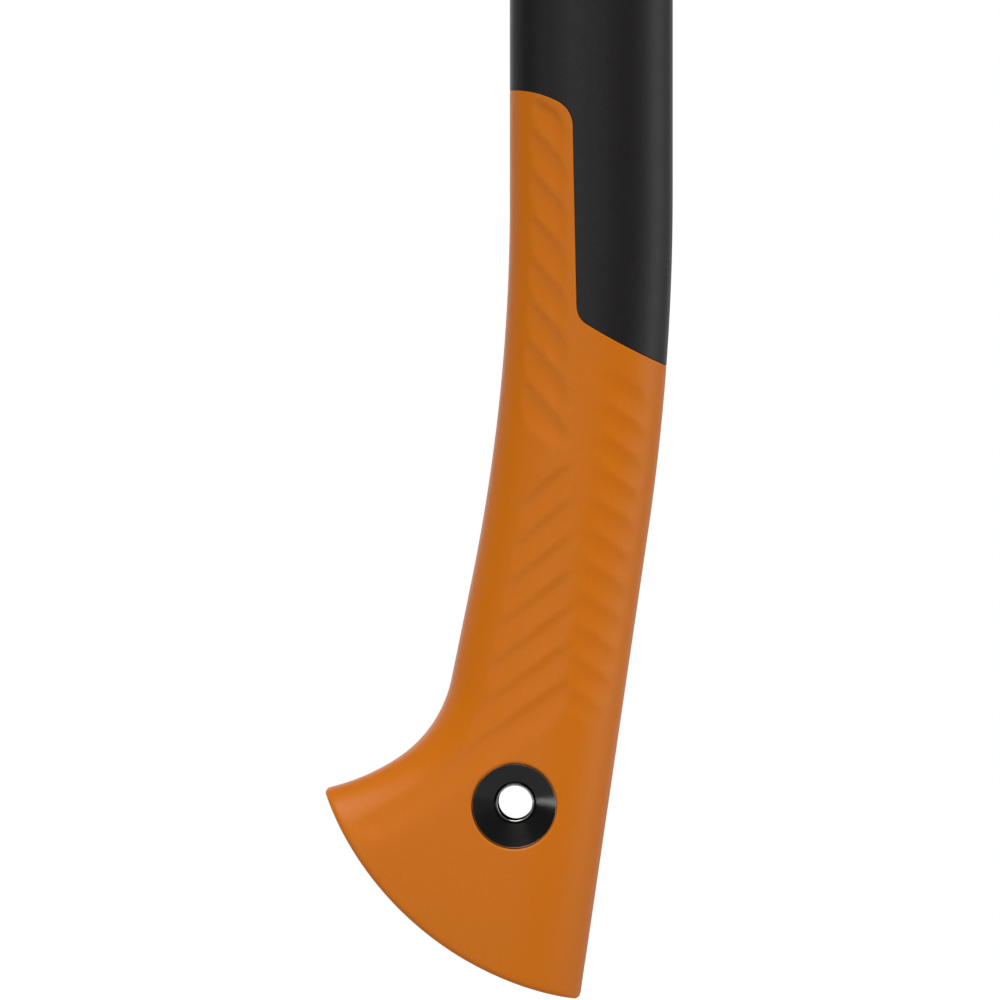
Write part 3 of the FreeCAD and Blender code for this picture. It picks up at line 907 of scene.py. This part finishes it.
def surface_normals(points):
    """Unit normals of a grid on the -Y side, pointing out."""
    along_row = np.gradient(points, axis=1)
    down = np.gradient(points, axis=0)
    normal = np.cross(along_row, down)
    normal[:, 0] = (-1.0, 0.0, 0.0)
    normal[:, -1] = (1.0, 0.0, 0.0)
    length = np.linalg.norm(normal, axis=2, keepdims=True)
    normal = normal / np.maximum(length, 1e-12)
    return np.where(normal[..., 1:2] > 0, -normal, normal)


def butt_cap(edge, divisions=26):
    """Face of the butt between the two sides' last rows."""
    share = np.linspace(-1.0, 1.0, divisions + 1)
    cap = np.repeat(edge[:, None, :], divisions + 1, axis=1)
    cap[:, :, 1] = edge[:, None, 1] * share[None, :]
    return cap


def grid_faces(rows, columns, start=0):
    index = np.arange(rows * columns).reshape(rows, columns) + start
    quads = np.stack([index[:-1, :-1], index[1:, :-1], index[1:, 1:], index[:-1, 1:]], 2)
    return [tuple(q) for q in quads.reshape(-1, 4).tolist()]


def grip_rim(loop):
    """Rings for a rim of the soft grip: the parting line, or a window over the eyelet."""
    centre_z = sum(v.co.z for v in loop) / len(loop)
    if centre_z > KNOB_TOP:
        return lip_rings(loop, parting_depth, PARTING_LEVELS, PARTING_ROUND, SKIN_THICKNESS)
    return lip_rings(loop, window_depth, WINDOW_LEVELS, WINDOW_ROUND, SKIN_THICKNESS)


def make_grip():
    """The soft overmould, from the parting line to the butt."""
    heights = np.arange(GRIP_TOP + 2.0, KNOB_TOP, -ROW_STEP)
    rows = np.concatenate([level_rows(heights), knob_rows()])
    points = with_height(rows, surface_height(rows))
    normals = surface_normals(points)
    points = points + normals * relief(rows[..., 0], rows[..., 1])[..., None]
    points[:, 0, 1] = 0.0
    points[:, -1, 1] = 0.0
    x, z = rows[..., 0], rows[..., 1]
    field = np.minimum(parting_depth(x, z) - PARTING_START, window_depth(x, z) - WINDOW_START)
    verts, faces = clip_grid(points, field)
    bm = bmesh.new()
    both_sides(bm, verts, faces)
    cap = butt_cap(points[-1])
    add_faces(bm, cap.reshape(-1, 3), grid_faces(cap.shape[0], cap.shape[1]))
    bmesh.ops.remove_doubles(bm, verts=bm.verts, dist=2e-3)
    close_shell(bm, SKIN_THICKNESS, grip_rim)
    return finish_mesh(bm, "soft_grip", ORANGE)


def shaft_rim(loop):
    """Rings for a rim of the shaft's skin: the parting line, seen from the other side."""
    return lip_rings(loop, lambda x, z: -parting_depth(x, z), PARTING_LEVELS, PARTING_ROUND,
                     SHAFT_SKIN_THICKNESS)


# Collar: where it starts to widen and where it is full, its half width, half thickness and power,
# the half width at which its narrow sides are flat, how softly they turn flat, and its top's round
COLLAR_FOOT = 515.0
COLLAR_FULL = 612.0
COLLAR_REACH = 36.0
COLLAR_HALF_THICKNESS = 18.0
COLLAR_POWER = 4.0
COLLAR_FLAT = 30.0
COLLAR_BLEND = 1.6
COLLAR_ROUND = 3.0


def collar_rows():
    """Rows of the collar, up over its rounded top to a point in its middle."""
    heights = np.arange(COLLAR_FOOT + 2.0, COLLAR_TOP - COLLAR_ROUND, 2.0)
    stations = [(height, 0.0) for height in heights]
    for turn in np.linspace(0.0, math.pi / 2, 9):
        lift = COLLAR_TOP - COLLAR_ROUND * (1 - math.sin(turn))
        stations.append((lift, COLLAR_ROUND * (1 - math.cos(turn))))
    turn = 1.0 - 2.0 * SHARES
    rows = []
    for height, inset in stations:
        grown = smooth_step((height - COLLAR_FOOT) / (COLLAR_FULL - COLLAR_FOOT))
        width = EDGE_REACH + (COLLAR_REACH - EDGE_REACH) * grown
        depth = SHAFT_HALF_THICKNESS + (COLLAR_HALF_THICKNESS - SHAFT_HALF_THICKNESS) * grown
        power = SECTION_POWER + (COLLAR_POWER - SECTION_POWER) * grown
        limit = width - COLLAR_BLEND * math.log1p(math.exp((width - COLLAR_FLAT) / COLLAR_BLEND))
        x = np.clip(-turn * width, -limit, limit) * (limit - inset) / limit
        y = depth * edge_profile(1.0 - np.abs(turn), power) * (depth - inset) / depth
        rows.append(np.stack([SHAFT_CENTRE + x, -y, np.full_like(x, height)], 1))
    last = rows[-1]
    middle = np.array([SHAFT_CENTRE, 0.0, COLLAR_TOP])
    for share in (0.85, 0.6, 0.3, 0.0):
        rows.append(middle + (last - middle) * share)
    return np.array(rows)


# Levels of the shaft's skin are close together near the parting line
FINE_LOW = 96.0
FINE_HIGH = 176.0
PLAIN_STEP = 6.0
PARTING_ZONE = 20.0


def make_shaft():
    """The hollow shaft's skin, from the parting line to the collar's top."""
    fine = np.arange(FINE_LOW, FINE_HIGH, ROW_STEP)
    plain = np.arange(FINE_HIGH + 2.0, COLLAR_FOOT + 1.0, PLAIN_STEP)
    heights = np.unique(np.concatenate([fine, plain, [COLLAR_FOOT]]))[::-1]
    rows = level_rows(heights)
    points = with_height(rows, surface_height(rows))
    points = np.concatenate([collar_rows()[::-1], points])
    x, z = points[..., 0], points[..., 2]
    field = np.where(z > GRIP_TOP + PARTING_ZONE, PARTING_ZONE, 0.0)
    low = z <= GRIP_TOP + PARTING_ZONE
    field[low] = -parting_depth(x[low], z[low]) - PARTING_START
    verts, faces = clip_grid(points, field)
    bm = bmesh.new()
    both_sides(bm, verts, faces)
    bmesh.ops.remove_doubles(bm, verts=bm.verts, dist=2e-3)
    close_shell(bm, SHAFT_SKIN_THICKNESS, shaft_rim)
    return finish_mesh(bm, "shaft", BLACK)


TURN_SEGMENTS = 180


def lathe(name, profile):
    """Ring turned about the Y axis from a closed (radius, y, lean) profile; a lean of 1 centres
    the turn on the window over the eyelet."""
    bm = bmesh.new()
    rings = []
    for k in range(TURN_SEGMENTS):
        turn = 2 * math.pi * k / TURN_SEGMENTS
        rings.append([bm.verts.new((lean * WINDOW_CENTRE[0] + radius * math.cos(turn), y,
                                    lean * WINDOW_CENTRE[1] + radius * math.sin(turn)))
                      for radius, y, lean in profile])
    for a, b in zip(rings, rings[1:] + rings[:1]):
        join_rings(bm, a, b)
    bmesh.ops.recalc_face_normals(bm, faces=bm.faces)
    return finish_mesh(bm, name, EYELET, TURNED_SMOOTH)


def rolled(centre, radius, start, stop, count):
    """Points of a (radius, y) profile on an arc, its ends in degrees."""
    turns = np.linspace(math.radians(start), math.radians(stop), count)
    return [(centre[0] + radius * math.cos(t), centre[1] + radius * math.sin(t)) for t in turns]


# Eyelet: the dish's slope runs from the barrel to DISH_RADIUS, but its edge turns over before that,
# at DISH_EDGE.  EDGE_TURN is that edge, as steps out and down from its crest.
DISH_RADIUS = 10.6
DISH_STEPS = (5.5, 6.5, 7.5, 8.5, 9.3, 9.65)
EDGE_TURN = ((0.08, -0.02), (0.16, 0.02), (0.22, 0.1), (0.26, 0.25), (0.27, 0.8))
FLANGE_DROP = 0.8
FLANGE_UNDERSIDE = 1.3
DISH_UNDERSIDE = 1.35
BARREL_RADIUS = 4.8
BARREL_MIDDLE = 2.0
BARREL_STEP = 0.35
LIP_ROUND = 0.32
LIP_LOWERED = 0.25
WASHER_THICKNESS = 0.9
DISH_FLOOR = WASHER_FOOT + WASHER_THICKNESS


def make_washer(side, name):
    """Dished washer, its rounded edge just inside the window; side is +1 or -1 along Y."""
    slope = (WASHER_RIM - DISH_FLOOR) / (DISH_RADIUS - BARREL_RADIUS)
    profile = []
    for radius in (BARREL_RADIUS, *DISH_STEPS, DISH_EDGE):
        out = radius - BARREL_RADIUS
        profile.append((radius, DISH_FLOOR + slope * out, out / (DISH_EDGE - BARREL_RADIUS)))
    crest = profile[-1][1]
    for out, drop in EDGE_TURN:
        profile.append((DISH_EDGE + out, crest - drop, 1.0))
    profile.append((WASHER_RADIUS, crest - FLANGE_DROP, 0.0))
    profile.append((WASHER_RADIUS, WASHER_RIM - FLANGE_UNDERSIDE, 0.0))
    profile.append((DISH_RADIUS, WASHER_RIM - DISH_UNDERSIDE, 0.0))
    profile.append((BARREL_RADIUS, WASHER_FOOT, 0.0))
    return lathe(name, [(r, side * y, lean) for r, y, lean in profile])


def make_barrel():
    """Tube of the eyelet with a rolled lip at each end."""
    crest = LIP_CREST - LIP_LOWERED
    lip = rolled((BORE_RADIUS + LIP_ROUND, crest - LIP_ROUND), LIP_ROUND, 180, 10, 15)
    upper = [(BORE_RADIUS, BARREL_MIDDLE), (BORE_RADIUS, crest - 2 * LIP_ROUND)] + lip[1:]
    upper += [(BARREL_RADIUS, DISH_FLOOR + BARREL_STEP), (BARREL_RADIUS, DISH_FLOOR)]
    upper += [(BARREL_RADIUS, BARREL_MIDDLE)]
    lower = [(r, -y) for r, y in reversed(upper)]
    return lathe("eyelet_tube", [(r, y, 0.0) for r, y in upper + lower])


def place(piece, slot, *nodes):
    """Make a piece ride on the axe's one body in place of CAD nodes."""
    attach(piece, "root")
    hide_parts(*nodes)


place(make_grip(), "soft_grip_orange", "grip_sleeve")
place(make_shaft(), "composite_black", "handle_shaft")
place(make_washer(-1, "washer_left"), "eyelet_black", "eyelet_washer_left")
place(make_washer(1, "washer_right"), "eyelet_black", "eyelet_washer_right")
place(make_barrel(), "eyelet_black", "eyelet_barrel")


def paint_node(name, material):
    """Give a CAD node that stays in view its own material."""
    node = frame["nodes"][name]
    node.data.materials.clear()
    node.data.materials.append(material)


paint_node("axe_head", STEEL)
paint_node("butt_core", BLACK)


# ---- floor, light and camera ----

VIEW_CENTRE = Vector((-3.68 * MM, 0.0, 71.7 * MM))
VIEW_HEIGHT = 237.5 * MM
VIEW_DISTANCE = 3.5
VIEW_TURN = math.radians(0.7)
SENSOR = 36.0
WORLD_FILL = 0.1
FLOOR_FILL = 0.27
FLOOR_GREY = 0.2
FLOOR_RADIUS = 0.3


def stage_material():
    """Plain white floor that lights the axe only dimly."""
    m = Nodes("stage_white")
    m.shader.inputs["Base Color"].default_value = (FLOOR_GREY, FLOOR_GREY, FLOOR_GREY, 1.0)
    m.shader.inputs["Roughness"].default_value = 0.9
    path = m.add("ShaderNodeLightPath")
    glow = m.spread(path, "Is Camera Ray", FLOOR_FILL, 1.0)
    m.link(glow, "Result", m.shader, "Emission Strength")
    m.shader.inputs["Emission Color"].default_value = (1.0, 1.0, 1.0, 1.0)
    return m.material


def make_floor():
    """Plain pale floor under the butt."""
    low = cad_box[0][2] - 1.0 * MM
    bpy.ops.mesh.primitive_circle_add(vertices=96, radius=FLOOR_RADIUS, fill_type="NGON",
                                      location=(0.0, 0.0, low))
    floor = bpy.context.object
    floor.name = "floor"
    floor.data.materials.append(stage_material())


def area_light(name, place_at, aim, size, power):
    data = bpy.data.lights.new(name, "AREA")
    data.shape = "RECTANGLE"
    data.size = size[0]
    data.size_y = size[1]
    data.energy = power
    lamp = bpy.data.objects.new(name, data)
    lamp.location = place_at
    lamp.rotation_euler = (Vector(aim) - Vector(place_at)).to_track_quat("-Z", "Y").to_euler()
    bpy.context.scene.collection.objects.link(lamp)
    return lamp


def make_world():
    """White backdrop that lights the axe only dimly."""
    world = bpy.data.worlds.new("studio")
    world.use_nodes = True
    tree = world.node_tree
    shade = tree.nodes["Background"]
    shade.inputs["Color"].default_value = (1.0, 1.0, 1.0, 1.0)
    path = tree.nodes.new("ShaderNodeLightPath")
    dim = tree.nodes.new("ShaderNodeMapRange")
    dim.inputs["To Min"].default_value = WORLD_FILL
    dim.inputs["To Max"].default_value = 1.0
    tree.links.new(path.outputs["Is Camera Ray"], dim.inputs["Value"])
    tree.links.new(dim.outputs["Result"], shade.inputs["Strength"])
    bpy.context.scene.world = world


def make_camera():
    data = bpy.data.cameras.new("camera")
    data.sensor_width = SENSOR
    data.lens = SENSOR * VIEW_DISTANCE / VIEW_HEIGHT
    camera = bpy.data.objects.new("camera", data)
    offset = Vector((math.sin(VIEW_TURN), -math.cos(VIEW_TURN), 0.0)) * VIEW_DISTANCE
    camera.location = VIEW_CENTRE + offset
    camera.rotation_euler = (math.radians(90), 0.0, VIEW_TURN)
    bpy.context.scene.collection.objects.link(camera)
    bpy.context.scene.camera = camera


make_floor()
make_world()
make_camera()
# Soft boxes: name, bearing from the camera's side in degrees (+ to the right), distance and
# height of its middle, width and height in metres, power in watts
STRIP = (1.7, 0.25, 0.6, 1.5)
SOFT_BOXES = (
    ("front_box", -8.0, 1.7, 0.25, 0.4, 1.5, 2.95),
    ("front_top", -8.0, 0.8, 1.7, 1.2, 1.2, 19.2),
    ("left_card", -42.0, 1.7, -0.15, 0.3, 0.24, 1.3),
    ("left_side", -95.0, *STRIP, 0.7),
    ("left_back", -120.0, *STRIP, 1.6),
    ("left_rim", -150.0, *STRIP, 3.0),
    ("back_box", -172.0, *STRIP, 2.5),
    ("right_soft", 55.0, *STRIP, 1.6),
    ("right_box", 75.0, *STRIP, 4.7),
    ("right_side", 95.0, *STRIP, 2.3),
    ("right_back", 120.0, *STRIP, 1.2),
    ("right_rim", 150.0, *STRIP, 1.8),
)
for box_name, bearing, distance, height, width, tall, power in SOFT_BOXES:
    turn = math.radians(bearing)
    spot = (math.sin(turn) * distance, -math.cos(turn) * distance, height)
    area_light(box_name, spot, VIEW_CENTRE, (width, tall), power)
bpy.context.scene.view_settings.view_transform = "Standard"
